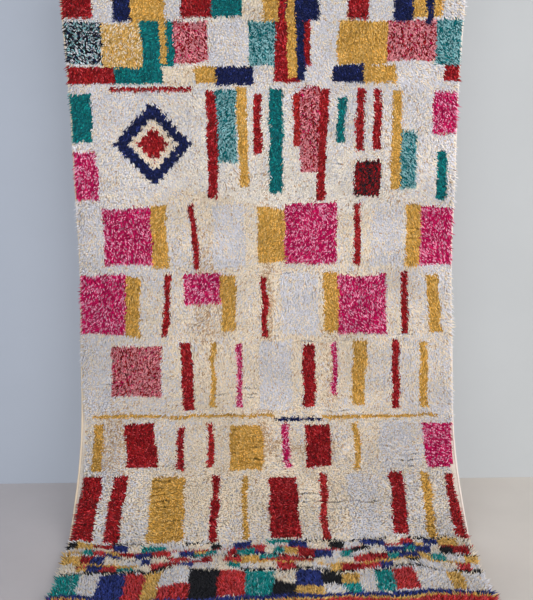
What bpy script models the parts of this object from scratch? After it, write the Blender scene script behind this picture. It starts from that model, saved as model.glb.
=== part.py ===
"""A Berber shag rug, hung by its top edge and running out over the floor.

The rug is woven and knotted in one piece, so it is one solid: ground cloth, a cord along each side,
and a lumpy slab of pile with locks of yarn standing out from its rim. It is modelled flat, as it
comes off the loom, and then hung: each point of the flat slab is carried to its place on the drape.

Metres, +Z up. The pile faces -Y on the hanging part and up on the floor part. The origin is on the
floor, in the middle of the rug's footprint.
"""

import math
import random
from collections import namedtuple

import bmesh
import bpy
from mathutils import Vector, noise

# The flat rug
WIDTH = 1.490
LENGTH = 2.660
CLOTH_HEIGHT = 0.0045
CORD_WIDTH = 0.008
CORD_HEIGHT = 0.0075
MARGIN = 0.018
END_HEM = 0.022
PILE_HEIGHT = 0.024
WALL_RUN = 0.002

# The pile's grid and its lumps
PILE_COLUMNS = 26
PILE_ROWS = 46
LUMP_HEIGHT = 0.011
LUMP_PITCH = 0.11
RIM_SHARE = 0.80

# Locks of yarn at the pile's rim
LOCKS_PER_CELL = 2
LOCK_INSET = 0.0035
LOCK_ROOT_SHARE = 0.62
LOCK_REACH = (0.021, 0.032)
LOCK_DROOP = (0.004, 0.016)
LOCK_TIP_HEIGHT = (0.010, 0.018)
LOCK_SEED = 11

# Side view of the drape: a level run on the floor, then a turn up to the hanging part
FLOOR_RUN = 0.405
PATH_STEP = 0.005
Section = namedtuple("Section", "past_floor slope")
TURN = (
    Section(past_floor=0.00, slope=0.0),
    Section(past_floor=0.04, slope=17.0),
    Section(past_floor=0.12, slope=35.0),
    Section(past_floor=0.25, slope=43.0),
    Section(past_floor=0.39, slope=52.0),
    Section(past_floor=0.53, slope=63.0),
    Section(past_floor=0.67, slope=77.0),
    Section(past_floor=0.81, slope=86.0),
    Section(past_floor=0.96, slope=90.0),
)

# The sides draw in where the hanging part waves
WAIST_INSET = 0.017
WAIST_ALONG = 1.83
WAIST_SPAN = 0.95
EDGE_WAVER = 0.0025

# Soft ridges and, with a rise below zero, troughs: where each lies on the flat rug, how far it
# reaches each way, how many degrees it leans and how far it lifts the cloth
Fold = namedtuple("Fold", "across along half_width half_length lean rise")
FOLDS = (
    Fold(-0.21, 1.18, 0.13, 0.34, 0, 0.016),
    Fold(-0.30, 1.54, 0.09, 0.26, 46, -0.016),
    Fold(0.01, 1.48, 0.05, 0.52, 2, 0.008),
    Fold(0.09, 0.88, 0.20, 0.14, 0, -0.014),
    Fold(0.24, 1.40, 0.12, 0.50, -6, 0.012),
    Fold(0.46, 1.68, 0.10, 0.45, 8, -0.012),
    Fold(-0.52, 1.41, 0.12, 0.60, -5, 0.010),
    Fold(0.60, 1.06, 0.10, 0.42, 0, 0.010),
    Fold(-0.31, 0.20, 0.10, 0.13, 8, 0.018),
    Fold(0.13, 0.23, 0.08, 0.12, -6, 0.015),
    Fold(0.52, 0.27, 0.09, 0.12, 12, 0.010),
)


def clear_scene():
    """Remove whatever the scene holds."""
    for leftover in list(bpy.data.objects):
        bpy.data.objects.remove(leftover, do_unlink=True)


def slope_at(along):
    """Slope of the cloth, in radians, at a distance from the floor hem."""
    past_floor = max(0.0, along - FLOOR_RUN)
    for start, end in zip(TURN, TURN[1:]):
        if past_floor < end.past_floor:
            share = (past_floor - start.past_floor) / (end.past_floor - start.past_floor)
            return math.radians(start.slope + share * (end.slope - start.slope))
    return math.radians(TURN[-1].slope)


def side_path():
    """Points (y, z) of the rug's back, PATH_STEP apart, from the floor hem to the top edge."""
    points = [Vector((0.0, 0.0))]
    steps = math.ceil(LENGTH / PATH_STEP)
    for step in range(steps):
        slope = slope_at((step + 0.5) * PATH_STEP)
        points.append(points[-1] + PATH_STEP * Vector((math.cos(slope), math.sin(slope))))
    middle = points[-1].x / 2
    return [point - Vector((middle, 0.0)) for point in points]


def bell(distance):
    """1 at no distance, falling smoothly to 0 at 1."""
    return math.cos(math.pi / 2 * min(1.0, abs(distance))) ** 2


def fold_rise(across, along):
    """How far the folds lift the cloth off its plain drape."""
    rise = 0.0
    for fold in FOLDS:
        lean = math.radians(fold.lean)
        off_across = across - fold.across
        off_along = along - fold.along
        side = off_across * math.cos(lean) + off_along * math.sin(lean)
        run = off_along * math.cos(lean) - off_across * math.sin(lean)
        rise += fold.rise * bell(side / fold.half_width) * bell(run / fold.half_length)
    return rise


def side_share(along):
    """Share of the flat width that the drawn-in sides leave."""
    inset = WAIST_INSET * bell((along - WAIST_ALONG) / WAIST_SPAN)
    waver = EDGE_WAVER * math.sin(9.0 * along)
    return 1.0 - (inset + waver) / (WIDTH / 2)


def hang(point, path):
    """Carry a point (across, along, height) of the flat rug to its place on the drape."""
    across, along, height = point
    step = min(max(int(along / PATH_STEP), 0), len(path) - 2)
    back = path[step].lerp(path[step + 1], along / PATH_STEP - step)
    slope = slope_at(along)
    lift = fold_rise(across, along) + height
    return Vector((
        across * side_share(along),
        back.x - lift * math.sin(slope),
        back.y + lift * math.cos(slope),
    ))


def even_lines(first, last, count):
    """Positions of count cells' lines from first to last."""
    return [first + (last - first) * line / count for line in range(count + 1)]


def grid_lines():
    """Positions of the flat rug's grid lines, across and along."""
    pile_edge = WIDTH / 2 - MARGIN
    rim = [pile_edge + WALL_RUN, WIDTH / 2 - CORD_WIDTH, WIDTH / 2]
    across = [-line for line in reversed(rim)] + even_lines(-pile_edge, pile_edge, PILE_COLUMNS) + rim
    pile_along = even_lines(END_HEM, LENGTH - END_HEM, PILE_ROWS)
    along = [0.0, END_HEM - WALL_RUN] + pile_along + [LENGTH - END_HEM + WALL_RUN, LENGTH]
    return across, along


def front_height(across, along):
    """Height of the rug's front over its back: cord, bare cloth or pile."""
    slack = WALL_RUN / 2
    if abs(across) > WIDTH / 2 - CORD_WIDTH + slack:
        return CORD_HEIGHT
    side_room = WIDTH / 2 - MARGIN - abs(across)
    end_room = min(along, LENGTH - along) - END_HEM
    room = min(side_room, end_room)
    if room < -slack:
        return CLOTH_HEIGHT
    lump = noise.noise(Vector((across, along, 0.0)) / LUMP_PITCH)
    pile = PILE_HEIGHT + LUMP_HEIGHT * lump
    return pile * RIM_SHARE if room < slack else pile


def flat_slab():
    """The flat rug as a closed slab, its back at height 0."""
    across, along = grid_lines()
    slab = bmesh.new()
    bmesh.ops.create_grid(slab, x_segments=len(across) - 1, y_segments=len(along) - 1, size=0.5)
    for vert in slab.verts:
        column = round((vert.co.x + 0.5) * (len(across) - 1))
        row = round((vert.co.y + 0.5) * (len(along) - 1))
        vert.co = Vector((across[column], along[row], 0.0))
    raised = bmesh.ops.extrude_face_region(slab, geom=slab.faces[:], use_keep_orig=True)
    for vert in raised["geom"]:
        if isinstance(vert, bmesh.types.BMVert):
            vert.co.z = front_height(vert.co.x, vert.co.y)
    bmesh.ops.recalc_face_normals(slab, faces=slab.faces[:])
    return slab


def rim_walls(slab):
    """The faces that drop from the pile to the bare cloth."""
    slab.normal_update()
    return [
        face for face in slab.faces
        if abs(face.normal.z) < 0.5
        and face.calc_center_median().z > CORD_HEIGHT
        and face.calc_area() > WALL_RUN * PILE_HEIGHT * 2
    ]


def split_walls(slab):
    """Cut each wall across, so that it roots LOCKS_PER_CELL locks."""
    slab.edges.index_update()
    long_edges = {
        edge for face in rim_walls(slab) for edge in face.edges
        if abs(edge.verts[0].co.z - edge.verts[1].co.z) < PILE_HEIGHT / 3
    }
    in_order = sorted(long_edges, key=lambda edge: edge.index)
    bmesh.ops.subdivide_edges(slab, edges=in_order, cuts=LOCKS_PER_CELL - 1)


def grow_locks(slab):
    """Draw a four-sided lock of yarn out of each wall, drooping towards the floor hem."""
    pick = random.Random(LOCK_SEED)
    walls = rim_walls(slab)
    bmesh.ops.inset_individual(slab, faces=walls, thickness=LOCK_INSET, use_even_offset=True)
    for wall in walls:
        root = wall.calc_center_median()
        out = Vector((wall.normal.x, wall.normal.y, 0.0)).normalized()
        for vert in wall.verts:
            vert.co = root.lerp(vert.co, LOCK_ROOT_SHARE)
        tip = bmesh.ops.poke(slab, faces=[wall])["verts"][0]
        tip.co = root + out * pick.uniform(*LOCK_REACH)
        if abs(out.x) > abs(out.y):
            tip.co.y -= pick.uniform(*LOCK_DROOP)
        else:
            tip.co.x += pick.choice((-1, 1)) * pick.uniform(*LOCK_DROOP) / 2
        tip.co.z = pick.uniform(*LOCK_TIP_HEIGHT)


def wool_material():
    """Undyed ivory wool."""
    material = bpy.data.materials.new("ivory_wool")
    material.use_nodes = True
    shader = material.node_tree.nodes["Principled BSDF"]
    shader.inputs["Base Color"].default_value = (0.62, 0.55, 0.47, 1.0)
    shader.inputs["Roughness"].default_value = 0.95
    shader.inputs["Metallic"].default_value = 0.0
    return material


def make_rug(collection):
    """The rug, modelled flat and then hung."""
    slab = flat_slab()
    split_walls(slab)
    grow_locks(slab)
    path = side_path()
    for vert in slab.verts:
        vert.co = hang(vert.co, path)
    bmesh.ops.triangulate(slab, faces=slab.faces[:])
    bmesh.ops.recalc_face_normals(slab, faces=slab.faces[:])
    mesh = bpy.data.meshes.new("rug")
    slab.to_mesh(mesh)
    slab.free()
    mesh.shade_smooth()
    mesh.materials.append(wool_material())
    rug = bpy.data.objects.new("rug", mesh)
    collection.objects.link(rug)
    return rug


def main():
    """Build the rug in its own collection."""
    clear_scene()
    collection = bpy.data.collections.new("berber_rug")
    bpy.context.scene.collection.children.link(collection)
    make_rug(collection)


main()
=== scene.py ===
"""The looks of a Berber shag rug that hangs from above and runs out over the floor.

The ground cloth, its side cords and every strand of the pile are laid out flat, in metres across and
along the rug, and then hung on the frame's drape. The design is a generic one of blocks, bars and
checks. Metres, +Z up, pile towards -Y on the hanging part and up on the floor part.
"""

import math
from collections import namedtuple

import bpy
import numpy as np
from mathutils import Matrix, Vector, noise

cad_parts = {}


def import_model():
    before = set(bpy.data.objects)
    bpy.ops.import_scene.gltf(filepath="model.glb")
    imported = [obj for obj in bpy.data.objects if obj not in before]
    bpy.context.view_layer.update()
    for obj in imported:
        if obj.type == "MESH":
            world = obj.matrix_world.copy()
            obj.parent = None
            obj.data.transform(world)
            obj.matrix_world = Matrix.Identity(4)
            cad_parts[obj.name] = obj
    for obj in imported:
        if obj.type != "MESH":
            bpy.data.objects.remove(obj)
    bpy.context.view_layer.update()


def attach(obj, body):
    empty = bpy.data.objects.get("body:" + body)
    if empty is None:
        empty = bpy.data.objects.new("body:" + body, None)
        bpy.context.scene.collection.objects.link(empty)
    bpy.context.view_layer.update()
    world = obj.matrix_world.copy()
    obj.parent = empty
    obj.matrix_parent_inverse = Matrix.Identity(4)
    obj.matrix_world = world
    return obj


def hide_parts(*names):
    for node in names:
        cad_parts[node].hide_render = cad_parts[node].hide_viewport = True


# The flat rug and its drape, as in the frame
WIDTH = 1.490
LENGTH = 2.660
CLOTH_HEIGHT = 0.0045
CORD_WIDTH = 0.008
END_HEM = 0.022
FLOOR_RUN = 0.405
PATH_STEP = 0.005
Section = namedtuple("Section", "past_floor slope")
TURN = (
    Section(0, 0),
    Section(0.04, 17),
    Section(0.12, 35),
    Section(0.25, 43),
    Section(0.39, 52),
    Section(0.53, 63),
    Section(0.67, 77),
    Section(0.81, 86),
    Section(0.96, 90),
)
WAIST_INSET = 0.017
WAIST_ALONG = 1.83
WAIST_SPAN = 0.95
EDGE_WAVER = 0.0025
Fold = namedtuple("Fold", "across along half_width half_length lean rise")
FOLDS = (
    Fold(-0.21, 1.18, 0.13, 0.34, 0, 0.016),
    Fold(-0.3, 1.54, 0.09, 0.26, 46, -0.016),
    Fold(0.01, 1.48, 0.05, 0.52, 2, 0.008),
    Fold(0.09, 0.88, 0.2, 0.14, 0, -0.014),
    Fold(0.24, 1.4, 0.12, 0.5, -6, 0.012),
    Fold(0.46, 1.68, 0.1, 0.45, 8, -0.012),
    Fold(-0.52, 1.41, 0.12, 0.6, -5, 0.01),
    Fold(0.6, 1.06, 0.1, 0.42, 0, 0.01),
    Fold(-0.31, 0.2, 0.1, 0.13, 8, 0.018),
    Fold(0.13, 0.23, 0.08, 0.12, -6, 0.015),
    Fold(0.52, 0.27, 0.09, 0.12, 12, 0.01),
)

# Camera: where it stands, which way it looks and its lens
CAMERA_AT = (-0.017, -3.079, 1.622)
CAMERA_PITCH = 12.42
CAMERA_YAW = 0.30
CAMERA_ROLL = -0.60
LENS = 54.6
SENSOR_HEIGHT = 36.0

# The room: its size, the wall's place behind the rug and how much of its brightness is its own glow,
# painted light that keeps shadows on it faint, and the floor's and wall's colours from left to right,
# which paint light: darker and cooler at the left, lighter at the right
STAGE_SIZE = 8
FLOOR_DROP = 0.0008
FLOOR_PAINTED_LIGHT_TONES = ((169, 164, 166), (202, 195, 187))
WALL_BEHIND = 0.63
WALL_MIDDLE = 3.0
WALL_GLOW = 0.60
WALL_PAINTED_LIGHT_TONES = ((164, 171, 184), (187, 189, 190))
TONE_REACH = 1.4
MOTTLE = 0.10

# Soft lights, and the sky's strength at the horizon and overhead
Lamp = namedtuple("Lamp", "name at aim size power colour")
LAMPS = (
    Lamp("back", (-1.4, 5.4, 2.6), (0, 0.4, 1), 3.6, 130, (1, 1, 1)),
    Lamp("key", (2.6, -4.1, 2.0), (0, 0.3, 1.1), 3.8, 238, (1, 0.97, 0.93)),
    Lamp("fill", (-2.0, -4.2, 2.0), (-0.1, 0.3, 1.4), 3.0, 60, (0.92, 0.97, 0.99)),
    Lamp("overhead", (0, -0.7, 2.2), (0, -0.6, 0), 1.6, 7, (0.84, 0.92, 1)),
)
SKY_COLOUR = (0.84, 0.9, 1, 1)
SKY_LOW = 0.76
SKY_HIGH = 0.22

# Ground cloth, its weave, with the pitch of a wave of scale 1, and its side cords
CLOTH_COLUMNS = 124
CLOTH_ROWS = 223
PILE_STARTS_OVER = 0.0005
WEAVE_SRGB = (214, 202, 190)
WEFT_SRGB = (176, 160, 142)
THREADS_ACROSS = 0.004
THREADS_ALONG = 0.003
WAVE_PITCH = 0.314
WEAVE_DEPTH = 0.0012
KNOT_WIDTH = 0.0075
KNOT_ROW = 0.0085
WEFT_WIDTH = 0.0011
CORD_STEP = 0.006
CORD_SIDES = 8
CORD_MIDDLE = 0.0042
CORD_LUMPS = ((0.06, 40), (0.05, 97))
CORDS = (("left_cord", -1, (210, 192, 168)), ("right_cord", 1, (222, 210, 200)))

# Strands of the pile: how far apart they root, their sizes and how these differ
STRAND_PITCH_ACROSS = 0.0050
STRAND_PITCH_ALONG = 0.0056
STRAND_JITTER = 0.42
STRAND_RADIUS = 0.0031
ROOT_SINK = 0.001
BASE_HEIGHT = 0.0115
ROOT_RUN = 0.0075
TIP_RUN = 0.0115
SIZE_RANGE = (0.84, 1.14)
PILE_HEIGHT = 0.024
LUMP_HEIGHT = 0.011
LUMP_PITCH = 0.11
PILE_BANDS = ("floor", "turn", "lower", "middle", "top")

# A strand is a root, three points round its belly and a tip
STRAND_POINTS = 5
STRAND_FACES = (0, 2, 1, 0, 3, 2, 0, 1, 3, 1, 2, 4, 2, 3, 4, 3, 1, 4)
STRAND_SIZES = (3, 3, 3, 3, 3, 3)
CELL_FILL = 0.84

# How a run of a strand leans over its height: with the comb and the ruffle of the pile, out at the
# sides and the ends, down the slope, away from a parting, and at random across and along
Lean = namedtuple("Lean", "comb ruffle out ends fall push across along")
ROOT_LEAN = Lean(0.4, 0.4, 0.7, 0.7, -0.30, 0.5, 0.16, 0.16)
TIP_LEAN = Lean(1.0, 1.0, 1.1, 1.0, -0.62, 0.9, 0.34, 0.30)
TIP_UP = 0.85
TIP_UP_SPREAD = 0.12

# Soft noises: each adds its gain times a noise with bumps so wide. They are read from a lattice, at
# places shifted far off, so that none is below zero
Ripple = namedtuple("Ripple", "gain pitch seed")
COMB = (Ripple(0.6, 0.085, 31), Ripple(0.4, 0.02, 32))
RUFFLE = (Ripple(0.18, 0.06, 34), Ripple(0.32, 0.024, 33))
NAP = (Ripple(1, 0.17, 41), Ripple(0.6, 0.05, 42))
FLOOR_SWAY = (Ripple(0.034, 0.24, 28), Ripple(0.01, 0.09, 25))
ROW_WAVER = (Ripple(0.005, 0.07, 22),)
COLUMN_WAVER = (Ripple(0.004, 0.055, 21),)
COOL_BATCHES = (Ripple(0.35, 0.23, 23),)
CREAM_EDGE = (Ripple(0.12, 0.3, 24),)
PARTING_BREAKS = (Ripple(0.9, 0.016, 26),)
LATTICE = 64
FAR_OFF = 1000.0

# Where strands stop at the sides: usual distance from the edge, and more in two worn stretches, where
# the rim leans out less. Elsewhere some of the rim's strands are longer
RIM_ROOM = 0.010
RIM_LONGER = 0.95
WORN_ROOM = 0.015
WORN_LEANS_LESS = 0.9
Worn = namedtuple("Worn", "side along half_length")
WORN_SIDES = (
    Worn(-1, 0.8, 0.38),
    Worn(1, 0.72, 0.26),
)
RIM_LEAN_FROM = 0.020

# The pile opens where the rug turns out over the floor: below where and over what run, how much deeper,
# how much painted shade darkens it between its strands, how much looser they lie and what share of that
# is added length
OPEN_BELOW = 1.00
OPEN_OVER = 0.35
OPEN_DEPTH = 0.0035
OPEN_SHADE = 0.18
OPEN_LOOSE = 0.35
OPEN_LONGER = 0.5

# Every random draw starts from this number
SEED = 7

# Yarns: sRGB colour, how much one strand differs from the next in tone, and how much painted shade darkens
# its root
Yarn = namedtuple("Yarn", "srgb spread depth")
YARNS = {
    "ivory": Yarn((243, 228, 206), 0.06, 0.1),
    "pearl": Yarn((223, 221, 227), 0.06, 0.1),
    "tan": Yarn((208, 176, 142), 0.1, 0.12),
    "crimson": Yarn((150, 14, 24), 0.42, 0.45),
    "rust": Yarn((176, 38, 32), 0.36, 0.4),
    "coral": Yarn((210, 70, 76), 0.24, 0.35),
    "saffron": Yarn((212, 164, 76), 0.28, 0.45),
    "straw": Yarn((228, 188, 112), 0.18, 0.3),
    "pink": Yarn((196, 4, 90), 0.28, 0.45),
    "blush": Yarn((236, 160, 190), 0.2, 0.3),
    "rosy": Yarn((224, 146, 154), 0.2, 0.3),
    "teal": Yarn((2, 108, 114), 0.34, 0.4),
    "foam": Yarn((140, 186, 190), 0.2, 0.3),
    "jade": Yarn((10, 146, 142), 0.3, 0.4),
    "navy": Yarn((18, 28, 74), 0.4, 0.4),
    "royal": Yarn((46, 60, 132), 0.34, 0.4),
    "black": Yarn((26, 26, 32), 0.36, 0.35),
    "cream": Yarn((245, 236, 224), 0.06, 0.1),
}

# What share of its strands each mix draws from each yarn
MIXES = {
    "ivory": {"ivory": 0.8, "pearl": 0.14, "tan": 0.06},
    "cream": {"cream": 0.8, "pearl": 0.14, "tan": 0.06},
    "tan": {"tan": 1.0},
    "cool": {"ivory": 0.26, "pearl": 0.71, "tan": 0.03},
    "crimson": {"crimson": 0.76, "rust": 0.1, "coral": 0.14},
    "rust": {"rust": 0.65, "crimson": 0.15, "coral": 0.2},
    "coral": {"coral": 0.5, "rust": 0.4, "crimson": 0.1},
    "rose": {"crimson": 0.36, "pink": 0.07, "rosy": 0.57},
    "saffron": {"saffron": 0.72, "straw": 0.28},
    "sun": {"saffron": 0.45, "straw": 0.55},
    "straw": {"straw": 0.55, "saffron": 0.2, "ivory": 0.25},
    "pink": {"pink": 0.7, "blush": 0.3},
    "teal": {"teal": 0.78, "jade": 0.22},
    "jade": {"jade": 0.75, "teal": 0.15, "foam": 0.1},
    "sea": {"teal": 0.45, "foam": 0.55},
    "navy": {"navy": 0.9, "royal": 0.1},
    "royal": {"royal": 0.72, "navy": 0.28},
    "slate": {"black": 0.44, "navy": 0.12, "foam": 0.24, "pearl": 0.2},
    "plum": {"black": 0.42, "crimson": 0.58},
    "black": {"black": 1.0},
    "dash": {"black": 0.62, "ivory": 0.38},
}

# Bars and blocks stand in zones between two distances from the floor hem. Each has its left side, its
# width and its mix, and how far it stops short of the zone's top and low ends and leans across
Zone = namedtuple("Zone", "low high bars")
Bar = namedtuple("Bar", "left width mix short_top short_low lean", defaults=(0.0, 0.0, 0.0))
ZONES = (
    Zone(2.3, 2.66, (
        Bar(-0.385, 0.024, "saffron", 0, 0.06),
        Bar(0.052, 0.028, "crimson", 0.02, 0.05, 0.01),
        Bar(0.08, 0.034, "saffron", 0, 0.01, 0.014),
        Bar(0.114, 0.03, "navy", 0.01, 0, 0.012),
        Bar(0.6, 0.026, "navy", 0, 0.19),
    )),
    Zone(1.845, 2.275, (
        Bar(-0.75, 0.09, "teal", 0.02, 0.23),
        Bar(-0.75, 0.1, "pink", 0.235, 0.01),
        Bar(-0.58, 0.3, "crimson", 0, 0.415),
        Bar(-0.22, 0.038, "crimson", 0.01, 0.02),
        Bar(-0.182, 0.075, "sea", 0.01, 0.15),
        Bar(-0.107, 0.038, "saffron", 0, 0.06, 0.01),
        Bar(-0.04, 0.03, "crimson", 0.03, 0.18),
        Bar(0.02, 0.05, "teal", 0.01, 0.03),
        Bar(0.11, 0.028, "rust", 0.02, 0.21),
        Bar(0.138, 0.075, "rose", 0, 0.11),
        Bar(0.213, 0.034, "crimson", 0.01, 0, -0.012),
        Bar(0.28, 0.032, "teal", 0.04, 0.22),
        Bar(0.352, 0.1, "plum", 0.28, 0.015),
        Bar(0.352, 0.03, "crimson", 0.01, 0.19),
        Bar(0.418, 0.03, "crimson", 0.01, 0.19),
        Bar(0.49, 0.036, "saffron", 0.02, 0.04),
        Bar(0.526, 0.062, "sea", 0.17, 0.04),
        Bar(0.65, 0.1, "pink", 0.03, 0.25),
        Bar(0.668, 0.042, "teal", 0.245),
    )),
    Zone(1.59, 1.835, (
        Bar(-0.64, 0.19, "pink", 0.01, 0.015),
        Bar(-0.45, 0.062, "saffron"),
        Bar(-0.3, 0.024, "crimson", 0, -0.01, 0.015),
        Bar(-0.21, 0.13, "cool"),
        Bar(-0.03, 0.11, "saffron", 0.015, 0.02),
        Bar(0.08, 0.2, "pink", 0, 0.01),
        Bar(0.35, 0.026, "crimson", 0, 0.01),
        Bar(0.42, 0.12, "cool"),
        Bar(0.555, 0.055, "saffron", 0.01),
        Bar(0.61, 0.14, "pink", 0.02),
    )),
    Zone(1.315, 1.565, (
        Bar(-0.75, 0.19, "pink", 0, 0.01),
        Bar(-0.56, 0.058, "saffron", 0.01),
        Bar(-0.4, 0.024, "crimson", 0, 0, -0.018),
        Bar(-0.33, 0.15, "pink", 0, 0.13),
        Bar(-0.18, 0.06, "saffron", 0.01, 0.02),
        Bar(-0.02, 0.024, "crimson", 0.01, -0.01),
        Bar(0.06, 0.15, "cool"),
        Bar(0.23, 0.058, "saffron", 0, 0.015),
        Bar(0.288, 0.19, "pink", 0.01),
        Bar(0.54, 0.026, "crimson"),
        Bar(0.64, 0.048, "saffron", 0.015, 0.01, 0.01),
    )),
    Zone(1.01, 1.29, (
        Bar(-0.75, 0.12, "cool"),
        Bar(-0.62, 0.2, "rose", 0.015, 0.06),
        Bar(-0.35, 0.046, "crimson", 0, 0, 0.018),
        Bar(-0.225, 0.02, "saffron", 0, 0.01),
        Bar(-0.12, 0.022, "pink", 0.01, 0.01),
        Bar(-0.03, 0.13, "cool"),
        Bar(0.145, 0.048, "crimson", 0.01, 0.01),
        Bar(0.26, 0.02, "pink", 0, 0.06),
        Bar(0.35, 0.052, "saffron", 0, 0.015, -0.014),
        Bar(0.5, 0.028, "crimson"),
        Bar(0.61, 0.03, "saffron", 0.01),
    )),
    Zone(0.96, 0.99, (
        Bar(-0.69, 0.72, "saffron", 0, 0.018),
        Bar(0.03, 0.19, "navy", 0.012, 0.006),
        Bar(0.22, 0.46, "saffron", 0.006, 0.012),
    )),
    Zone(0.765, 0.955, (
        Bar(-0.69, 0.036, "saffron"),
        Bar(-0.57, 0.12, "crimson", 0, 0.01, 0.015),
        Bar(-0.36, 0.028, "crimson", 0.01),
        Bar(-0.24, 0.024, "rust", 0, 0.01),
        Bar(-0.15, 0.13, "saffron", 0.01),
        Bar(0.06, 0.026, "pink", 0, 0.01),
        Bar(0.15, 0.1, "crimson", 0.01, 0.01),
        Bar(0.34, 0.024, "saffron"),
        Bar(0.44, 0.13, "cool"),
        Bar(0.62, 0.13, "pink", 0.01),
    )),
    Zone(0.462, 0.745, (
        Bar(-0.75, 0.1, "crimson"),
        Bar(-0.6, 0.055, "crimson", 0, 0, -0.012),
        Bar(-0.45, 0.13, "saffron", 0.01, 0.01),
        Bar(-0.22, 0.03, "crimson"),
        Bar(-0.1, 0.022, "saffron", 0.01),
        Bar(0, 0.11, "crimson", 0.01, 0, 0.01),
        Bar(0.2, 0.028, "rust"),
        Bar(0.31, 0.11, "cool"),
        Bar(0.47, 0.056, "crimson", 0, 0.01),
        Bar(0.59, 0.036, "saffron"),
        Bar(0.69, 0.06, "crimson", 0.01),
    )),
    Zone(-0.08, 0.096, (
        Bar(-0.75, 1.5, "royal", 0, 0.15),
        Bar(-0.75, 1.5, "sun", 0.026, 0.136),
        Bar(-0.75, 1.5, "coral", 0.04),
    )),
)

# Stepped lozenges
Lozenge = namedtuple("Lozenge", "across along half_width half_length mix")
LOZENGES = (
    Lozenge(-0.43, 2.065, 0.15, 0.16, "navy"),
    Lozenge(-0.43, 2.065, 0.095, 0.1, "ivory"),
    Lozenge(-0.43, 2.065, 0.06, 0.064, "crimson"),
)
LOZENGE_STEP = 0.020

# Rows of patches run across the rug with mixes from a list: from which number on, how many numbers the
# next patch may be further on and what share of the patches is split, somewhere about its middle
PatchRow = namedtuple("PatchRow", "low high cell mixes start skip split", defaults=(1, 0.0))
HEATHERS = "rose sea cool slate straw teal rose cool sea crimson cool saffron".split()
SOLIDS = "crimson cool navy saffron cool crimson teal ivory saffron navy cool".split()
CHECKS = "cool royal sun ivory jade black coral cool sun crimson royal ivory jade coral".split()
FOOT = """
    coral cool sun cool royal ivory jade cool royal coral sun
    cool black coral jade ivory royal black sun cool jade
""".split()
PATCH_ROWS = (
    PatchRow(2.505, 2.66, 0.105, SOLIDS, 0),
    PatchRow(2.345, 2.51, 0.14, HEATHERS, 3),
    PatchRow(2.285, 2.35, 0.135, SOLIDS, 5),
    PatchRow(0.406, 0.452, 0.06, CHECKS, 5, 3, 0.3),
    PatchRow(0.356, 0.402, 0.05, CHECKS, 0, 4, 0.2),
    PatchRow(0.308, 0.352, 0.058, CHECKS, 8, 3, 0.2),
    PatchRow(0.26, 0.304, 0.054, CHECKS, 3, 4, 0.2),
    PatchRow(0.096, 0.24, 0.082, FOOT, 6, 1, 0.15),
)
UNEVEN_CELLS = 0.42
UNEVEN_ENDS = 0.13
SPLIT_RANGE = (0.35, 0.65)

# Broken lines of knots between the rows of checks: dashes of a mix, so many metres apart, and the
# shares of that which each dash is late by and long
DashLine = namedtuple("DashLine", "along mix pitch width")
DASH_LINES = (
    DashLine(0.458, "dash", 0.36, 0.01),
    DashLine(0.404, "rust", 0.6, 0.008),
    DashLine(0.354, "dash", 0.46, 0.01),
    DashLine(0.306, "sun", 0.5, 0.01),
    DashLine(0.256, "black", 0.27, 0.012),
    DashLine(0.246, "dash", 0.15, 0.014),
)
DASH_LATE = (0, 0.5)
DASH_LONG = (0.3, 0.9)

# Which yarn a knot draws: chances step evenly from knot to knot, and edges of blocks are a little ragged
CHANCE_STEPS = (0.7549, 0.5698)
CHANCE_JITTER = 0.10
LAST_CHANCE = 0.9999
RAGGED_ACROSS = 0.0020
RAGGED_ALONG = 0.0018

# What share of the plain ground draws on the cooler mix: anywhere, and more at the sides; more at the foot,
# painted light of the sky where it faces up, and at the top with its painted shade
COOL_SHARE = 0.08
COOL_AT_SIDES = 0.95
PAINTED_COOL_LIGHT_AT_FOOT = 0.5
PAINTED_COOL_SHADE_AT_TOP = 0.5
FOOT_BELOW = 0.60
FOOT_OVER = 0.25

# Partings, where the pile opens along the rows of knots: short lines in groups, with painted shade in them
# where they show
Parting = namedtuple("Parting", "left right along")
PartingGroup = namedtuple("PartingGroup", "left right low high lines")
PARTING_GROUPS = (
    PartingGroup(-0.24, 0.02, 2.09, 2.13, 3),
    PartingGroup(0.05, 0.3, 1.985, 2.01, 2),
    PartingGroup(-0.62, -0.4, 1.7, 1.74, 2),
    PartingGroup(0.3, 0.68, 1.69, 1.735, 3),
    PartingGroup(-0.16, 0.1, 1.56, 1.59, 2),
    PartingGroup(0.1, 0.66, 1.29, 1.312, 2),
    PartingGroup(-0.66, -0.36, 1.12, 1.18, 4),
    PartingGroup(-0.34, -0.04, 1.06, 1.1, 3),
    PartingGroup(0.2, 0.6, 0.96, 1.0, 3),
    PartingGroup(-0.15, -0.02, 0.79, 0.93, 7),
    PartingGroup(0.42, 0.64, 0.78, 0.86, 5),
    PartingGroup(-0.45, -0.32, 0.56, 0.72, 7),
    PartingGroup(0.1, 0.46, 0.6, 0.66, 3),
)
PARTING_HALVES = (0.15, 0.45)
PARTING_JITTER = 0.004
PARTING_WAVER = 0.004
PARTING_REACH = 0.008
PARTING_SHORTER = 0.25
PARTING_SHADE = 0.42
PARTING_SHOWS = 0.55

# Wool's brightness: what its fibres add at the most, the rest, how far a strand's rise, its painted shade
# from root to tip, lifts it on the whole and the least that is left
FIBRE_SHADE = 0.20
WOOL_SHADE = 0.90
USUAL_RISE = 0.75
DARKEST_WOOL = 0.06

# How a strand's brightness runs from root to tip, as painted shade, and how far it strays from its
# neighbours'; and how much painted shade from the pile's gaps darkens the pile's foot, and at the most
BELLY_RISE = 0.55
BELLY_SHADE = 0.4
TONE_RANGE = (-1.7, 1.9)
NAP_DRIFT = 0.075
FOOT_SHADE = 1.6
FOOT_DARKEST = 0.9

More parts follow.
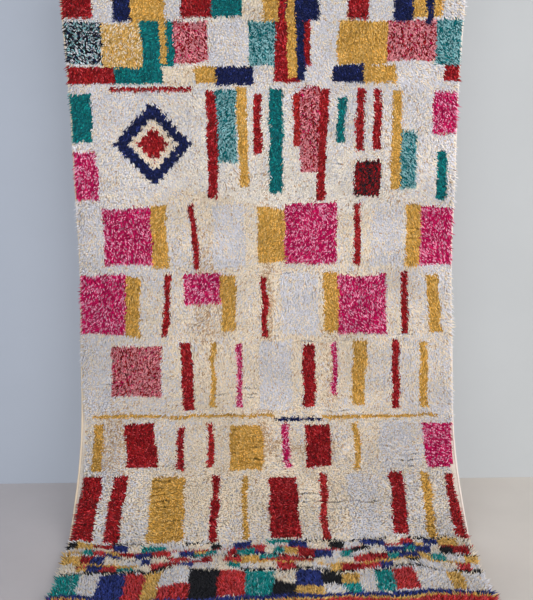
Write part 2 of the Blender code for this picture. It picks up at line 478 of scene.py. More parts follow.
# Wool darker towards the top edge, as painted shade, and towards the lower sides
SHADED_TOP_FROM = 2.05
SHADED_TOP_OVER = 0.25
TOP_PAINTED_SHADE = 0.05
SIDE_DARKENING = 0.06
SIDES_PLAIN_FROM = 1.55
SIDES_PLAIN_OVER = 0.40

# The upper part's plain ground draws on a creamier mix
CREAM_FROM = 1.84

# Painted shade in the creases of the folds, where tan strands darken the ivory: middle, reach each way and
# the share of tan strands
CreaseShade = namedtuple("CreaseShade", "across along half_width half_length share")
PAINTED_CREASE_SHADES = (
    CreaseShade(0.006, 1.46, 0.034, 0.66, 0.7),
    CreaseShade(-0.235, 1.46, 0.085, 0.36, 0.42),
    CreaseShade(-0.02, 0.9, 0.06, 0.16, 0.45),
    CreaseShade(0.13, 0.86, 0.26, 0.06, 0.4),
    CreaseShade(0.25, 1.2, 0.05, 0.4, 0.3),
    CreaseShade(-0.6, 0.9, 0.1, 0.2, 0.45),
    CreaseShade(0.5, 2.05, 0.06, 0.3, 0.25),
)


# Drape

def slopes(along):
    """Slope of the cloth, in radians, at distances from the floor hem."""
    starts = [section.past_floor for section in TURN]
    return np.radians(np.interp(along - FLOOR_RUN, starts, [section.slope for section in TURN]))


def side_path():
    """Distances from the floor hem and the back's y and z there."""
    stations = np.arange(math.ceil(LENGTH / PATH_STEP) + 1) * PATH_STEP
    middles = slopes(stations[:-1] + PATH_STEP / 2)
    y = np.concatenate(([0.0], np.cumsum(np.cos(middles) * PATH_STEP)))
    z = np.concatenate(([0.0], np.cumsum(np.sin(middles) * PATH_STEP)))
    return stations, y - y[-1] / 2, z


PATH = side_path()


def bell(distance):
    """1 at no distance, falling smoothly to 0 at 1."""
    return np.cos(np.pi / 2 * np.minimum(1.0, np.abs(distance))) ** 2


def fold_rise(across, along):
    """How far the folds lift the cloth off its plain drape."""
    rise = np.zeros_like(across)
    for fold in FOLDS:
        lean = math.radians(fold.lean)
        off_across = across - fold.across
        off_along = along - fold.along
        side = off_across * math.cos(lean) + off_along * math.sin(lean)
        run = off_along * math.cos(lean) - off_across * math.sin(lean)
        rise += fold.rise * bell(side / fold.half_width) * bell(run / fold.half_length)
    return rise


def hang(flat):
    """Carry points (across, along, height) of the flat rug to their places on the drape."""
    across, along, height = np.moveaxis(flat, -1, 0)
    stations, path_y, path_z = PATH
    slope = slopes(along)
    past_low = np.minimum(along, 0.0)
    past_top = np.maximum(along - stations[-1], 0.0)
    back_y = np.interp(along, stations, path_y) + past_low
    back_z = np.interp(along, stations, path_z) + past_top
    lift = fold_rise(across, along) + height
    inset = WAIST_INSET * bell((along - WAIST_ALONG) / WAIST_SPAN)
    waver = EDGE_WAVER * np.sin(9.0 * along)
    x = across * (1.0 - (inset + waver) / (WIDTH / 2))
    return np.stack((x, back_y - lift * np.sin(slope), back_z + lift * np.cos(slope)), axis=-1)


# Noise

def soft_noise(across, along, pitch, seed):
    """Smooth noise from -1 to 1 with bumps about a pitch wide."""
    lattice = np.random.default_rng(seed).uniform(-1, 1, (LATTICE, LATTICE))
    x, y = across / pitch + FAR_OFF, along / pitch + FAR_OFF
    column, row = np.floor(x).astype(int), np.floor(y).astype(int)
    fx, fy = x - column, y - row
    fx, fy = fx * fx * (3 - 2 * fx), fy * fy * (3 - 2 * fy)

    def corner(right, up):
        return lattice[(row + up) % LATTICE, (column + right) % LATTICE]

    low = corner(0, 0) * (1 - fx) + corner(1, 0) * fx
    high = corner(0, 1) * (1 - fx) + corner(1, 1) * fx
    return low * (1 - fy) + high * fy


def ripples(table, across, along):
    """The sum of a table's noises."""
    return sum(each.gain * soft_noise(across, along, each.pitch, each.seed) for each in table)


def ramp(place, start, over):
    """From 0 at a start to 1 so much further on."""
    return np.clip((place - start) / over, 0, 1)


# Design

def draw(mix, chance):
    """Yarn numbers drawn from a mix by chances from 0 to 1."""
    names = list(YARNS)
    numbers = np.array([names.index(yarn) for yarn in MIXES[mix]])
    ends = np.cumsum(list(MIXES[mix].values()))
    return numbers[np.searchsorted(ends, chance * ends[-1] * LAST_CHANCE)]


Patch = namedtuple("Patch", "left right low high mix lean", defaults=(0.0,))


def bar_patches():
    """The bars and blocks of the zones."""
    patches = []
    for zone in ZONES:
        for bar in zone.bars:
            low, high = zone.low + bar.short_low, zone.high - bar.short_top
            patches.append(Patch(bar.left, bar.left + bar.width, low, high, bar.mix, bar.lean))
    return patches


def row_patches():
    """The rows of patches, with uneven cells, and the broken lines between the rows of checks."""
    pick = np.random.default_rng(SEED)
    patches = []
    for row in PATCH_ROWS:
        left, cell = -WIDTH / 2, row.start
        while left < WIDTH / 2:
            right = left + row.cell * pick.uniform(1 - UNEVEN_CELLS, 1 + UNEVEN_CELLS)
            low = row.low + pick.uniform(-1, 1) * UNEVEN_ENDS * (row.high - row.low)
            patches.append(Patch(left, right, low, row.high, row.mixes[cell % len(row.mixes)]))
            if pick.random() < row.split:
                middle = low + pick.uniform(*SPLIT_RANGE) * (row.high - low)
                patches.append(Patch(left, right, low, middle, row.mixes[(cell + 2) % len(row.mixes)]))
            left, cell = right, cell + int(pick.integers(1, row.skip + 1))
    for line in DASH_LINES:
        for start in np.arange(-WIDTH / 2, WIDTH / 2, line.pitch):
            left = start + pick.uniform(*DASH_LATE) * line.pitch
            right = left + pick.uniform(*DASH_LONG) * line.pitch
            low, high = line.along - line.width / 2, line.along + line.width / 2
            patches.append(Patch(left, right, low, high, line.mix))
    return patches


def in_patch(patch, across, along):
    """Which points lie in a patch."""
    shift = patch.lean * (patch.high - along) / (patch.high - patch.low)
    inside = (across - shift > patch.left) & (across - shift < patch.right)
    return inside & (along > patch.low) & (along < patch.high)


def in_lozenge(lozenge, across, along):
    """Which points lie in a lozenge with stepped sides."""
    steps = np.round(np.abs(along - lozenge.along) / LOZENGE_STEP) * LOZENGE_STEP
    reach = lozenge.half_width * (1.0 - steps / lozenge.half_length)
    return np.abs(across - lozenge.across) < reach


def even_chances(across, along, pick):
    """Chances from 0 to 1 that spread evenly over the knots, so that a mix has few clots."""
    column, row = np.round(across / STRAND_PITCH_ACROSS), np.round(along / STRAND_PITCH_ALONG)
    jitter = pick.normal(0, CHANCE_JITTER, across.shape)
    return (column * CHANCE_STEPS[0] + row * CHANCE_STEPS[1] + jitter) % 1.0


def top_share(along):
    """How near the top edge a place is, from 0 to 1: there painted shade makes the wool darker and cooler.
    """
    return ramp(along, SHADED_TOP_FROM, SHADED_TOP_OVER)


def foot_share(along):
    """How near the floor a place is, from 0 to 1."""
    return ramp(-along, -FOOT_BELOW, FOOT_OVER)


def edge_share(across):
    """How near a side a place is, from 0 in the middle to 1."""
    return (np.abs(across) / (WIDTH / 2)) ** 2


def ground_yarns(across, along, foot, chance, pick):
    """The plain ground's yarns: ivory, creamier in the upper part, cooler in places, partly as painted
    light, and tan in creases as painted shade.
    """
    cool = COOL_SHARE + ripples(COOL_BATCHES, across, along) + COOL_AT_SIDES * edge_share(across)
    # Painted light: cooler wool at the foot, where it faces up, and at the shaded top
    cool = cool + PAINTED_COOL_LIGHT_AT_FOOT * foot + PAINTED_COOL_SHADE_AT_TOP * top_share(along)
    creamy = along + ripples(CREAM_EDGE, across, along) > CREAM_FROM
    warm = np.where(creamy, draw("cream", chance), draw("ivory", chance))
    yarn = np.where(pick.random(across.shape) < cool, draw("cool", chance), warm)
    # Painted shade in the folds' creases: tan strands darken the ivory there
    crease_shade_share = sum(
        crease.share * bell((across - crease.across) / crease.half_width)
        * bell((along - crease.along) / crease.half_length)
        for crease in PAINTED_CREASE_SHADES
    )
    return np.where(pick.random(across.shape) < crease_shade_share, draw("tan", chance), yarn)


def yarn_numbers(across, along, pick):
    """The yarn of each knot."""
    chance = even_chances(across, along, pick)
    foot = foot_share(along)
    swayed = along + foot * ripples(FLOOR_SWAY, across, along)
    along = swayed + ripples(ROW_WAVER, across, along) + pick.normal(0, RAGGED_ALONG, across.shape)
    across = across + ripples(COLUMN_WAVER, across, along) + pick.normal(0, RAGGED_ACROSS, across.shape)
    yarn = ground_yarns(across, along, foot, chance, pick)
    shapes = [(in_patch, patch) for patch in row_patches() + bar_patches()]
    shapes += [(in_lozenge, lozenge) for lozenge in LOZENGES]
    for test, shape in shapes:
        inside = test(shape, across, along)
        yarn[inside] = draw(shape.mix, chance[inside])
    return yarn


# Materials

def linear(srgb):
    """Linear colour of an sRGB one from 0 to 255."""
    shares = np.array(srgb) / 255
    return tuple(np.where(shares <= 0.04045, shares / 12.92, ((shares + 0.055) / 1.055) ** 2.4)) + (1.0,)


def give(entry, value):
    """Set a node's input to a constant or link it to another node's output."""
    if isinstance(value, bpy.types.NodeSocket):
        entry.id_data.links.new(value, entry)
    else:
        entry.default_value = value


def feed(node, **values):
    """Give values to a node's inputs, with underscores for the spaces in their names."""
    for name, value in values.items():
        give(node.inputs[name.replace("_", " ")], value)
    return node


def add_node(nodes, kind, **values):
    """A new shader node with values on its inputs."""
    return feed(nodes.new("ShaderNode" + kind), **values)


def calculated(nodes, operation, *values):
    """The outcome of a calculation with constants and other nodes' outputs."""
    step = nodes.new("ShaderNodeMath")
    step.operation = operation
    for entry, value in zip(step.inputs, values):
        give(entry, value)
    return step.outputs["Value"]


def mixed(nodes, share, first, second, blend="MIX"):
    """Two colours mixed by a share."""
    mix = nodes.new("ShaderNodeMix")
    mix.data_type = "RGBA"
    mix.blend_type = blend
    return feed(mix, Factor=share, A=first, B=second).outputs["Result"]


def mesh_values(nodes, name):
    """A node that reads values of a name from the mesh."""
    reader = nodes.new("ShaderNodeAttribute")
    reader.attribute_name = name
    return reader


def flat_place(nodes):
    """The place on the flat rug, in metres."""
    reader = nodes.new("ShaderNodeUVMap")
    reader.uv_map = "Flat"
    return reader.outputs["UV"]


def new_material(name, colour, roughness, sheen):
    """A Principled material; its nodes and its shader."""
    material = bpy.data.materials.new(name)
    material.use_nodes = True
    nodes = material.node_tree.nodes
    shader = feed(nodes["Principled BSDF"], Base_Color=colour, Roughness=roughness, Sheen_Weight=sheen)
    feed(shader, Sheen_Roughness=0.6, Specular_IOR_Level=0.15)
    return material, nodes, shader


def set_colour(nodes, shader, colour, brightness):
    """A shader's colour, made brighter or darker."""
    value = add_node(nodes, "HueSaturation", Color=colour, Value=brightness)
    feed(shader, Base_Color=value.outputs["Color"])


def add_bump(nodes, shader, height, strength, depth):
    """Relief on a shader; the bump's node."""
    bump = add_node(nodes, "Bump", Strength=strength, Distance=depth, Height=height)
    feed(shader, Normal=bump.outputs["Normal"])
    return bump


def wool(name, yarn):
    """Hand-spun wool: strands lighter and darker, with painted shade that darkens them at the root, and
    fine fibres.
    """
    colour = linear(yarn.srgb)
    material, nodes, shader = new_material("wool_" + name, colour, 0.9, 0.05)
    place = nodes.new("ShaderNodeTexCoord").outputs["Object"]
    fibres = add_node(nodes, "TexNoise", Scale=900, Detail=3, Vector=place).outputs["Fac"]
    rise = mesh_values(nodes, "rise").outputs["Fac"]
    tone = mesh_values(nodes, "tone").outputs["Fac"]
    # Painted shade: a strand's rise makes it darker at the root and lighter at the tip, more so for yarns
    # of more depth
    usual = WOOL_SHADE - USUAL_RISE * yarn.depth
    level = calculated(nodes, "MULTIPLY_ADD", fibres, FIBRE_SHADE, usual)
    level = calculated(nodes, "MULTIPLY_ADD", rise, yarn.depth, level)
    level = calculated(nodes, "MULTIPLY_ADD", tone, yarn.spread, level)
    set_colour(nodes, shader, colour, calculated(nodes, "MAXIMUM", level, DARKEST_WOOL))
    add_bump(nodes, shader, fibres, strength=0.5, depth=0.0006)
    return material


# Meshes

def mesh_object(name, points, faces, sizes):
    """A mesh object from points, the faces' corners in one row and each face's number of corners."""
    mesh = bpy.data.meshes.new(name)
    mesh.vertices.add(len(points))
    mesh.vertices.foreach_set("co", np.ascontiguousarray(points, np.float32).ravel())
    mesh.loops.add(len(faces))
    mesh.loops.foreach_set("vertex_index", faces.astype(np.int32))
    mesh.polygons.add(len(sizes))
    starts = np.concatenate(([0], np.cumsum(sizes)[:-1]))
    mesh.polygons.foreach_set("loop_start", starts.astype(np.int32))
    mesh.update(calc_edges=True)
    mesh.shade_smooth()
    piece = bpy.data.objects.new(name, mesh)
    bpy.context.scene.collection.objects.link(piece)
    return piece


def unit(vectors):
    """Vectors of length 1."""
    return vectors / np.maximum(np.linalg.norm(vectors, axis=-1, keepdims=True), 1e-9)


def worn_share(across, along):
    """How worn the side is beside each place, from 0 to 1."""
    share = np.zeros_like(across)
    for worn in WORN_SIDES:
        share += (np.sign(across) == worn.side) * np.sqrt(bell((along - worn.along) / worn.half_length))
    return share


def side_room(across, along):
    """Room between each place and the last strand at its side of the rug."""
    return WIDTH / 2 - RIM_ROOM - WORN_ROOM * worn_share(across, along) - np.abs(across)


def rim_cover(across, along):
    """How far the rim's strands lean out over the side: all the way, and hardly where it is worn."""
    return 1 - WORN_LEANS_LESS * worn_share(across, along)


def open_share(along):
    """How far the pile opens over the turn and the floor, from 0 to 1."""
    return ramp(-along, -OPEN_BELOW, OPEN_OVER)


def base_height(across, along):
    """Height of the ground over the rug's back: bare cloth, and the pile's dense foot inside its rim."""
    end_room = np.minimum(along, LENGTH - along) - END_HEM
    room = np.minimum(side_room(across, along), end_room)
    base = BASE_HEIGHT - OPEN_DEPTH * open_share(along)
    return CLOTH_HEIGHT + (base - CLOTH_HEIGHT) * np.clip(room / RIM_LEAN_FROM, 0, 1)


def lay_out_strands():
    """Where the strands root on the flat rug, across and along."""
    pick = np.random.default_rng(SEED)
    half = WIDTH / 2 - RIM_ROOM
    columns = int(2 * half / STRAND_PITCH_ACROSS)
    rows = int((LENGTH - 2 * END_HEM) / STRAND_PITCH_ALONG)
    column, row = np.meshgrid(np.arange(columns), np.arange(rows))
    stagger = 0.25 + 0.5 * (row % 2)
    column = column + stagger + pick.uniform(-1, 1, column.shape) * STRAND_JITTER
    row = row + 0.5 + pick.uniform(-1, 1, row.shape) * STRAND_JITTER
    across = column.ravel() * STRAND_PITCH_ACROSS - half
    along = row.ravel() * STRAND_PITCH_ALONG + END_HEM
    rooted = side_room(across, along) > 0
    return across[rooted], along[rooted]


def make_partings():
    """The partings' lines, uneven in length and place."""
    pick = np.random.default_rng(SEED + 5)
    lines = []
    for group in PARTING_GROUPS:
        for along in np.linspace(group.low, group.high, group.lines):
            middle = pick.uniform(group.left, group.right)
            half = pick.uniform(*PARTING_HALVES) * (group.right - group.left)
            left, right = max(group.left, middle - half), min(group.right, middle + half)
            lines.append(Parting(left, right, along + pick.uniform(-PARTING_JITTER, PARTING_JITTER)))
    return lines


def parting_push(across, along):
    """How far strands are pushed up or down by the partings beside them."""
    push = np.zeros_like(along)
    for parting in make_partings():
        off = along - parting.along - PARTING_WAVER * np.sin(across * 45 + parting.along * 30)
        near = (across > parting.left) & (across < parting.right) & (np.abs(off) < PARTING_REACH)
        push[near] = (np.sign(off) * (1 - np.abs(off) / PARTING_REACH))[near]
    return push


def gap_shade(across, along):
    """How much painted shade darkens the pile between its strands: where it opens and, in places, in its
    partings.
    """
    shown = np.clip(PARTING_SHOWS + ripples(PARTING_BREAKS, across, along), 0, 1)
    return OPEN_SHADE * open_share(along) + PARTING_SHADE * shown * parting_push(across, along) ** 2


Pulls = namedtuple("Pulls", "comb ruffle out ends fall push")


def pile_pulls(across, along):
    """What pulls the strands over: comb, ruffle, the sides, the ends, the slope and partings."""
    side_near = np.clip(1 - side_room(across, along) / RIM_LEAN_FROM, 0, 1)
    end_room = np.minimum(along, LENGTH - along) - END_HEM
    return Pulls(
        ripples(COMB, across, along),
        ripples(RUFFLE, across, along),
        np.sign(across) * side_near * rim_cover(across, along),
        np.sign(along - LENGTH / 2) * np.clip(1 - end_room / RIM_LEAN_FROM, 0, 1),
        np.sin(slopes(along)),
        parting_push(across, along),
    )


def leans(lean, pulls, loose, pick):
    """How far runs of the strands lean across and along."""
    count = len(pulls.comb)
    across = loose * lean.comb * pulls.comb + lean.out * pulls.out
    across = across + loose * pick.normal(0, lean.across, count)
    along = lean.fall * pulls.fall + loose * lean.ruffle * pulls.ruffle + lean.ends * pulls.ends
    along = along + lean.push * pulls.push + loose * pick.normal(0, lean.along, count)
    return across, along


def strand_runs(across, along, pick):
    """Each strand's two runs, root to belly and belly to tip, as (across, along, height) steps."""
    count = len(across)
    loose = 1 + OPEN_LOOSE * open_share(along)
    pulls = pile_pulls(across, along)
    root = unit(np.stack((*leans(ROOT_LEAN, pulls, 1.0, pick), np.ones(count)), axis=-1))
    tip_leans = leans(TIP_LEAN, pulls, loose, pick)
    tip = unit(np.stack((*tip_leans, TIP_UP + pick.normal(0, TIP_UP_SPREAD, count)), axis=-1))
    lumps = np.array([noise.noise((x / LUMP_PITCH, y / LUMP_PITCH, 0.0)) for x, y in zip(across, along)])
    size = (1 + LUMP_HEIGHT / PILE_HEIGHT * lumps) * pick.uniform(*SIZE_RANGE, count)
    size = size * (1 - PARTING_SHORTER * np.abs(pulls.push))
    reach = 1 + OPEN_LONGER * (loose - 1) + np.abs(pulls.out) * pick.uniform(0.0, RIM_LONGER, count)
    return root * ROOT_RUN * size[:, None], tip * TIP_RUN * (size * reach)[:, None]


def strand_points(root, belly, tip, pick):
    """The strands' points: the root, three round the belly and the tip."""
    count = len(root)
    axis = unit(tip - root)
    turn = pick.uniform(0, 2 * np.pi, count)
    side = unit(np.cross(axis, np.array((1.0, 0.31, 0.17))))
    other = np.cross(axis, side)
    points = np.empty((count, STRAND_POINTS, 3))
    points[:, 0] = root
    for corner in range(3):
        angle = turn + corner * 2 * np.pi / 3
        reach = side * np.cos(angle)[:, None] + other * np.sin(angle)[:, None]
        points[:, 1 + corner] = belly + reach * STRAND_RADIUS
    points[:, 4] = tip
    return points


def strand_map(count):
    """Map corners of the strands: each has its own cell, its three sides next to each other."""
    side = math.ceil(math.sqrt(count))
    corners = []
    for third in range(3):
        left, right = third / 3, (third + 1) / 3
        corners += [((left + right) / 2, 0.0), (right, 0.5), (left, 0.5)]
    for third in range(3):
        left, right = third / 3, (third + 1) / 3
        corners += [(left, 0.5), (right, 0.5), ((left + right) / 2, 1.0)]
    cell = np.array(corners) * CELL_FILL + (1 - CELL_FILL) / 2
    column, row = np.arange(count) % side, np.arange(count) // side
    origin = np.stack((column, row), axis=-1)
    return (origin[:, None, :] + cell[None]) / side


def set_point_values(mesh, name, values):
    """A number for each point of a mesh, for its materials."""
    attribute = mesh.attributes.new(name, "FLOAT", "POINT")
    attribute.data.foreach_set("value", values.astype(np.float32))


def shade_strands(mesh, flat, yarn, pick):
    """Each strand's tone and how its brightness rises from root to tip as painted shade, for its material.
    """
    across, along = flat[:, 0], flat[:, 1]
    spread = np.array([spun.spread for spun in YARNS.values()])[yarn]
    depth = np.array([spun.depth for spun in YARNS.values()])[yarn]
    # Painted shade towards the top edge, and wool darker towards the lower sides
    sides_plain = ramp(along, SIDES_PLAIN_FROM, SIDES_PLAIN_OVER)
    darkening = TOP_PAINTED_SHADE * top_share(along) + SIDE_DARKENING * (1 - sides_plain) * edge_share(across)
    drift = (NAP_DRIFT * ripples(NAP, across, along) - darkening) / spread
    tone = np.clip(pick.normal(0, 1, len(yarn)), *TONE_RANGE) + drift
    set_point_values(mesh, "tone", np.repeat(tone, STRAND_POINTS))
    # Painted shade between the strands, where the pile opens and in partings, darkens the roots further
    dark = gap_shade(across, along) / depth
    # Painted shade: each strand's brightness rises from its dark root over its belly to its tip
    belly = BELLY_RISE - BELLY_SHADE * dark
    rise = np.stack((-dark, belly, belly, belly, np.ones(len(yarn))), axis=-1)
    set_point_values(mesh, "rise", rise.ravel())


def make_pile_band(name, flat, runs, yarn, pick, materials):
    """One band of the pile as a joined mesh of strands."""
    count = len(yarn)
    belly = flat + runs[0]
    tip = belly + runs[1]
    points = strand_points(hang(flat), hang(belly), hang(tip), pick)
    faces = (np.arange(count)[:, None] * STRAND_POINTS + np.array(STRAND_FACES)[None]).ravel()
    piece = mesh_object(name, points.reshape(-1, 3), faces, np.tile(STRAND_SIZES, count))
    mesh = piece.data
    for material in materials:
        mesh.materials.append(material)
    mesh.polygons.foreach_set("material_index", np.repeat(yarn, len(STRAND_SIZES)).astype(np.int32))
    cells = mesh.uv_layers.new(name="OFBake")
    cells.data.foreach_set("uv", strand_map(count).ravel().astype(np.float32))
    shade_strands(mesh, flat, yarn, pick)
    return piece


def make_pile(materials):
    """All the strands, in bands along the rug."""
    pick = np.random.default_rng(SEED + 1)
    across, along = lay_out_strands()
    yarn = yarn_numbers(across, along, pick)
    runs = strand_runs(across, along, pick)
    flat = np.stack((across, along, base_height(across, along) - ROOT_SINK), axis=-1)
    band = np.minimum((along / LENGTH * len(PILE_BANDS)).astype(int), len(PILE_BANDS) - 1)
    pieces = []
    for number, name in enumerate(PILE_BANDS):
        here = band == number
        runs_here = (runs[0][here], runs[1][here])
        pieces.append(make_pile_band("pile_" + name, flat[here], runs_here, yarn[here], pick, materials))
    return pieces


def grid_mesh(name, across, along, heights):
    """A closed slab over the grid of lines: back at height 0, front at heights."""
    rows, columns = len(along), len(across)
    grid_across, grid_along = np.meshgrid(across, along)
    back = np.stack((grid_across, grid_along, np.zeros_like(grid_across)), axis=-1)
    front = np.stack((grid_across, grid_along, heights), axis=-1)
    flat = np.concatenate((front.reshape(-1, 3), back.reshape(-1, 3)))
    numbers = np.arange(rows * columns).reshape(rows, columns)
    quads = np.stack((numbers[:-1, :-1], numbers[:-1, 1:], numbers[1:, 1:], numbers[1:, :-1]), axis=-1)
    front_faces = quads.reshape(-1, 4)
    back_faces = quads[..., ::-1].reshape(-1, 4) + rows * columns
    rim = np.concatenate((numbers[0, :-1], numbers[:-1, -1], numbers[-1, :0:-1], numbers[:0:-1, 0]))
    after = np.roll(rim, -1)
    sides = np.stack((rim + rows * columns, after + rows * columns, after, rim), axis=-1)
    faces = np.concatenate((front_faces, back_faces, sides))
    piece = mesh_object(name, hang(flat), faces.ravel(), np.full(len(faces), 4))
    return piece, flat, faces, len(front_faces)


def make_ground_cloth(weave, knots, foot):
    """The woven ground: bare at its margins and hems, with the knots' backs showing behind."""
    edge = WIDTH / 2 - CORD_WIDTH / 2
    across = np.linspace(-edge, edge, CLOTH_COLUMNS)
    along = np.linspace(0, LENGTH, CLOTH_ROWS)
    heights = base_height(*np.meshgrid(across, along))
    piece, flat, faces, front_count = grid_mesh("ground_cloth", across, along, heights)
    mesh = piece.data
    for material in (weave, knots, foot):
        mesh.materials.append(material)
    centres = flat[faces].mean(axis=1)
    slots = np.zeros(len(faces), np.int32)
    slots[front_count:2 * front_count] = 1
    slots[:front_count][centres[:front_count, 2] > CLOTH_HEIGHT + PILE_STARTS_OVER] = 2
    mesh.polygons.foreach_set("material_index", slots)
    flat_map = mesh.uv_layers.new(name="Flat")
    flat_map.data.foreach_set("uv", flat[faces.ravel(), :2].ravel().astype(np.float32))
    pick = np.random.default_rng(SEED + 3)
    yarn = yarn_numbers(centres[:, 0], centres[:, 1], pick)
    palette = np.array([linear(spun.srgb) for spun in YARNS.values()])
    # Painted shade: the pile's foot is darker where the pile opens and in its partings
    dark = np.clip(FOOT_SHADE * gap_shade(centres[:, 0], centres[:, 1]), 0, FOOT_DARKEST)
    shades = np.where(slots == 2, 1 - dark, 1.0)[:, None] * (1, 1, 1, 0) + (0, 0, 0, 1)
    colours = np.repeat(palette[yarn] * shades, 4, axis=0)
    colour = mesh.attributes.new("knot_colour_and_shade", "FLOAT_COLOR", "CORNER")
    colour.data.foreach_set("color", colours.ravel().astype(np.float32))
    return piece


def make_side_cord(name, side, material):
    """A selvedge cord, oversewn with yarn."""
    along = np.arange(0, LENGTH + CORD_STEP / 2, CORD_STEP)
    sides = CORD_SIDES
    angle = np.arange(sides) * 2 * np.pi / sides
    radius = CORD_WIDTH / 2 * sum((share * np.sin(along * turns) for share, turns in CORD_LUMPS), start=1)
    centre = side * (WIDTH / 2 - CORD_WIDTH / 2)
    points = np.stack((
        centre + radius[:, None] * np.cos(angle)[None],
        np.repeat(along[:, None], sides, axis=1),
        CORD_MIDDLE + radius[:, None] * np.sin(angle)[None],
    ), axis=-1).reshape(-1, 3)
    ring, corner = np.meshgrid(np.arange(len(along) - 1), np.arange(sides), indexing="ij")
    here, after = ring * sides + corner, ring * sides + (corner + 1) % sides
    walls = np.stack((here, here + sides, after + sides, after), axis=-1).reshape(-1, 4)
    last = (len(along) - 1) * sides
    caps = np.concatenate((np.arange(sides), last + np.arange(sides)[::-1]))
    faces = np.concatenate((walls.ravel(), caps))
    sizes = np.concatenate((np.full(len(walls), 4), (sides, sides)))
    piece = mesh_object(name, hang(points), faces, sizes)
    piece.data.materials.append(material)
    return piece


def woven_wool():
    """Plain weave in wool, from two crossed waves, with painted shade in the hollows between threads."""
    colour = linear(WEAVE_SRGB)
    material, nodes, shader = new_material("ground_weave", colour, 0.9, 0.1)
    flat = flat_place(nodes)
    waves = []
    for direction, pitch in (("X", THREADS_ACROSS), ("Y", THREADS_ALONG)):
        wave = add_node(nodes, "TexWave", Vector=flat, Scale=WAVE_PITCH / pitch)
        feed(wave, Distortion=0.6, Detail_Scale=40)
        wave.bands_direction = direction
        waves.append(wave.outputs["Fac"])
    rise = calculated(nodes, "MAXIMUM", *waves)
    mottle = add_node(nodes, "TexNoise", Scale=160, Vector=flat).outputs["Fac"]
    # Painted shade: the weave darker where its threads lie low
    shade = calculated(nodes, "MULTIPLY_ADD", rise, 0.35, 0.42)
    set_colour(nodes, shader, colour, calculated(nodes, "MULTIPLY_ADD", mottle, 0.5, shade))
    add_bump(nodes, shader, rise, strength=0.8, depth=WEAVE_DEPTH)
    return material


def knot_backs():
    """The backs of the knots, in their yarns, between rows of ivory weft."""
    material, nodes, shader = new_material("knot_backs", linear(YARNS["ivory"].srgb), 0.9, 0.05)
    bricks = add_node(nodes, "TexBrick", Color1=(1, 1, 1, 1), Color2=(0.72, 0.72, 0.72, 1))
    feed(bricks, Vector=flat_place(nodes), Scale=1.0, Brick_Width=KNOT_WIDTH, Row_Height=KNOT_ROW)
    feed(bricks, Mortar_Size=WEFT_WIDTH, Mortar_Smooth=0.6)
    colour = mesh_values(nodes, "knot_colour_and_shade").outputs["Color"]
    knots = mixed(nodes, 0.8, colour, bricks.outputs["Color"], "MULTIPLY")
    between = bricks.outputs["Fac"]
    feed(shader, Base_Color=mixed(nodes, between, knots, linear(WEFT_SRGB)))
    height = calculated(nodes, "SUBTRACT", 1.0, between)
    add_bump(nodes, shader, height, strength=0.9, depth=0.0015)
    return material


def pile_foot():
    """The dense foot of the pile, in the colours of its knots, a fifth darker, with painted shade where the
    pile opens and in its partings.
    """
    material, nodes, shader = new_material("pile_foot", linear(YARNS["ivory"].srgb), 0.9, 0.05)
    set_colour(nodes, shader, mesh_values(nodes, "knot_colour_and_shade").outputs["Color"], 0.80)
    tufts = add_node(nodes, "TexVoronoi", Scale=190, Vector=flat_place(nodes))
    bump = add_bump(nodes, shader, tufts.outputs["Distance"], strength=0.6, depth=0.002)
    bump.invert = True
    return material


# Room, light and camera

def plain_material(name, painted_light_tones, roughness, glow=0.0):
    """A plain matt surface, faintly mottled, that turns from one tone to another from left to right:
    painted light, darker at the left and lighter at the right.

    With a glow, that share of its brightness is its own, so that shadows on it stay faint.
    """
    left, right = (linear(tone) for tone in painted_light_tones)
    material, nodes, shader = new_material(name, left, roughness, 0.0)
    place = nodes.new("ShaderNodeTexCoord").outputs["Object"]
    parts = add_node(nodes, "SeparateXYZ", Vector=place)
    share = add_node(nodes, "MapRange", From_Min=-TONE_REACH, From_Max=TONE_REACH, Value=parts.outputs["X"])
    share.interpolation_type = "SMOOTHSTEP"
    # Painted light: the tone turns from the darker left to the lighter right
    tone = mixed(nodes, share.outputs["Result"], left, right)
    cloud = add_node(nodes, "TexNoise", Scale=2.2, Detail=12, Roughness=0.68, Vector=place)
    level = add_node(nodes, "MapRange", Value=cloud.outputs["Fac"])
    feed(level, To_Min=(1 - MOTTLE) * (1 - glow), To_Max=(1 + MOTTLE) * (1 - glow))
    set_colour(nodes, shader, tone, level.outputs["Result"])
    # Painted light: a glow of the surface's own, though it is no lamp
    if glow:
        feed(shader, Emission_Color=tone, Emission_Strength=glow)
    return material


def clear_from_behind(material):
    """Let a backdrop be seen through from behind, so that it never hides the rug's back."""
    nodes = material.node_tree.nodes
    side = nodes.new("ShaderNodeNewGeometry")
    clear = nodes.new("ShaderNodeBsdfTransparent")
    either = add_node(nodes, "MixShader", Fac=side.outputs["Backfacing"])
    give(either.inputs[1], nodes["Principled BSDF"].outputs["BSDF"])
    give(either.inputs[2], clear.outputs["BSDF"])
    feed(nodes["Material Output"], Surface=either.outputs["Shader"])


def make_plane(name, location, rotation, material):
    """A flat stage plane."""
    bpy.ops.mesh.primitive_plane_add(size=STAGE_SIZE, location=location, rotation=rotation)
    plane = bpy.context.object
    plane.name = name
    plane.data.materials.append(material)
    return plane


def make_area_light(lamp):
    """A soft area light aimed at a point."""
    light = bpy.data.lights.new(lamp.name, "AREA")
    light.shape = "SQUARE"
    light.size = lamp.size
    light.energy = lamp.power
    light.color = lamp.colour
    holder = bpy.data.objects.new(lamp.name, light)
    holder.location = lamp.at
    holder.rotation_euler = (Vector(lamp.aim) - Vector(lamp.at)).to_track_quat("-Z", "Y").to_euler()
    bpy.context.scene.collection.objects.link(holder)


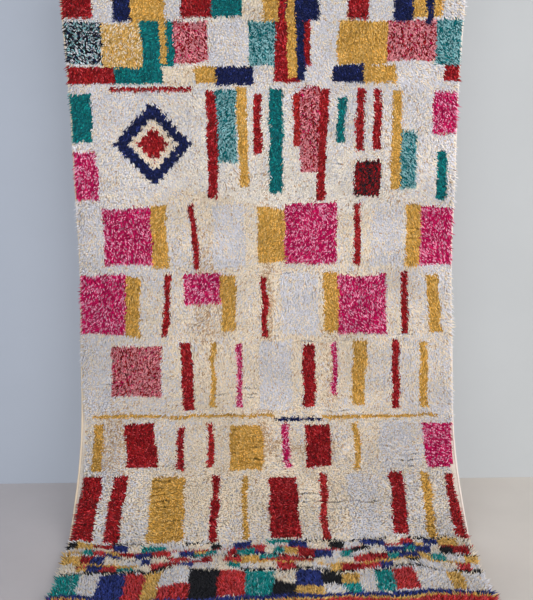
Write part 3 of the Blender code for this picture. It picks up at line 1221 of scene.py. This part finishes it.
def make_sky():
    """A soft sky, stronger at the horizon than overhead."""
    world = bpy.data.worlds.new("soft_world")
    world.use_nodes = True
    nodes = world.node_tree.nodes
    place = nodes.new("ShaderNodeTexCoord")
    parts = add_node(nodes, "SeparateXYZ", Vector=place.outputs["Generated"])
    sky = add_node(nodes, "MapRange", To_Min=SKY_LOW, To_Max=SKY_HIGH, Value=parts.outputs["Z"])
    feed(nodes["Background"], Color=SKY_COLOUR, Strength=sky.outputs["Result"])
    bpy.context.scene.world = world
    bpy.context.scene.view_settings.view_transform = "Standard"


def make_room():
    """Plain pale floor and wall, with painted light that makes them lighter to the right, and soft light
    that is stronger from the right.
    """
    concrete = plain_material("pale_floor", FLOOR_PAINTED_LIGHT_TONES, 0.7)
    make_plane("floor", (0, 0, -FLOOR_DROP), (0, 0, 0), concrete)
    paint = plain_material("pale_wall", WALL_PAINTED_LIGHT_TONES, 0.9, WALL_GLOW)
    clear_from_behind(paint)
    wall = make_plane("backdrop", (0, WALL_BEHIND, WALL_MIDDLE), (math.pi / 2, 0, 0), paint)
    wall.visible_shadow = False
    for lamp in LAMPS:
        make_area_light(lamp)
    make_sky()


def make_camera():
    """The camera at the photograph's view."""
    pitch, yaw, roll = (math.radians(turn) for turn in (CAMERA_PITCH, CAMERA_YAW, CAMERA_ROLL))
    level = math.cos(pitch)
    forward = Vector((math.sin(yaw) * level, math.cos(yaw) * level, -math.sin(pitch)))
    level_right = Vector((math.cos(yaw), -math.sin(yaw), 0.0))
    level_up = level_right.cross(forward)
    right = level_right * math.cos(roll) + level_up * math.sin(roll)
    up = level_up * math.cos(roll) - level_right * math.sin(roll)
    turn = Matrix((right, up, -forward)).transposed().to_4x4()
    data = bpy.data.cameras.new("camera")
    data.sensor_fit = "VERTICAL"
    data.sensor_height = SENSOR_HEIGHT
    data.lens = LENS
    camera = bpy.data.objects.new("camera", data)
    camera.matrix_world = Matrix.Translation(CAMERA_AT) @ turn
    bpy.context.scene.collection.objects.link(camera)
    bpy.context.scene.camera = camera


def main():
    """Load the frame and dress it."""
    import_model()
    make_room()
    make_camera()
    pile = make_pile([wool(name, yarn) for name, yarn in YARNS.items()])
    cloth = make_ground_cloth(woven_wool(), knot_backs(), pile_foot())
    cords = [make_side_cord(name, side, wool(name, Yarn(srgb, 0.0, 0.0))) for name, side, srgb in CORDS]
    for piece in (cloth, *cords, *pile):
        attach(piece, "root")
        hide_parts("rug")


main()
